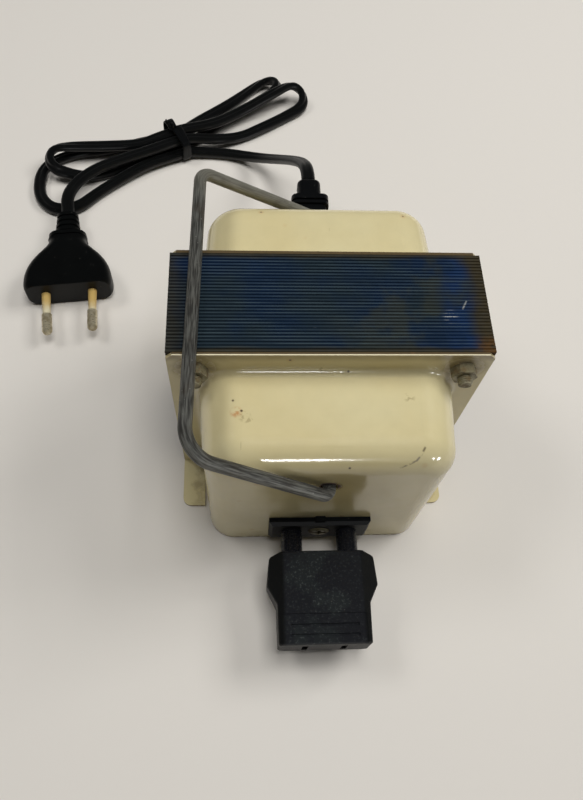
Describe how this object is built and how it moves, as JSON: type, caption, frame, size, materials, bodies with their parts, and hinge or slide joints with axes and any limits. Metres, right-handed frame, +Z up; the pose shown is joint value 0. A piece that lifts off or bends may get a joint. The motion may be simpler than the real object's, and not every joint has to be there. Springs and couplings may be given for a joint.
{
  "type": "voltage transformer",
  "caption": "Mains voltage transformer: laminated core between drawn steel end covers, swinging wire handle, outlet with a pull-out plug adapter, tied flat cord with a round-pin plug",
  "frame": {"origin": "middle of the core's underside, on the surface the feet stand on", "axes": "+Z up, +X right seen from the outlet side, -Y towards the outlet and the adapter, +Y towards the cord"},
  "size_m": [0.1679, 0.2765, 0.0843],
  "materials": {
    "core_steel": "dark blue lacquer over laminated steel, rust at the edges",
    "cover_enamel": "glossy cream enamel",
    "winding_copper": "enamelled copper wire",
    "board": "pressed board",
    "insulation_paper": "varnished paper",
    "zinc_fasteners": "zinc plated, rusted",
    "handle_wire": "streaky zinc wire",
    "outlet_black": "black moulding",
    "contact_brass": "plain",
    "adapter_black": "black moulding, fine texture",
    "lead_sleeve": "soft insulation",
    "cap_plastic": "translucent moulding",
    "cord_black": "flexible black sheath",
    "plug_black": "black moulding",
    "pin_nickel": "nickel plated",
    "sleeve_cream": "aged cream moulding"
  },
  "bodies": {
    "transformer": {"e_laminations": "core_steel", "i_laminations": "core_steel", "coil_former": "board", "low_voltage_winding": "winding_copper", "winding_paper": "insulation_paper", "high_voltage_winding": "winding_copper", "coil_wrap": "insulation_paper", "front_cover": "cover_enamel", "rear_cover": "cover_enamel", "through_bolts": "zinc_fasteners", "bolt_nuts": "zinc_fasteners", "outlet_body": "outlet_black", "outlet_contacts": "contact_brass", "outlet_screw": "zinc_fasteners", "outlet_nut": "zinc_fasteners", "front_leads": "lead_sleeve", "rear_leads": "lead_sleeve", "cord_cores": "lead_sleeve", "splice_caps": "cap_plastic", "strain_relief": "plug_black", "cord_lead": "cord_black", "cord_hank": "cord_black", "cord_plug_lead": "cord_black", "cord_tie": "cord_black", "plug_body": "plug_black", "plug_pins": "pin_nickel", "plug_pin_sleeves": "sleeve_cream"},
    "handle": {"handle": "handle_wire"},
    "adapter": {"adapter_body": "adapter_black", "adapter_cap": "adapter_black", "adapter_pins": "pin_nickel", "adapter_contacts": "contact_brass"}
  },
  "joints": [
    {"name": "handle_swing", "type": "hinge", "parent": "transformer", "child": "handle", "pos_m": [0, 0, 0.0525], "axis": [0, 1, 0], "range_deg": [0, 106]},
    {"name": "adapter_pull", "type": "slide", "parent": "transformer", "child": "adapter", "axis": [0, -1, 0], "range_m": [0, 0.025]}
  ]
}
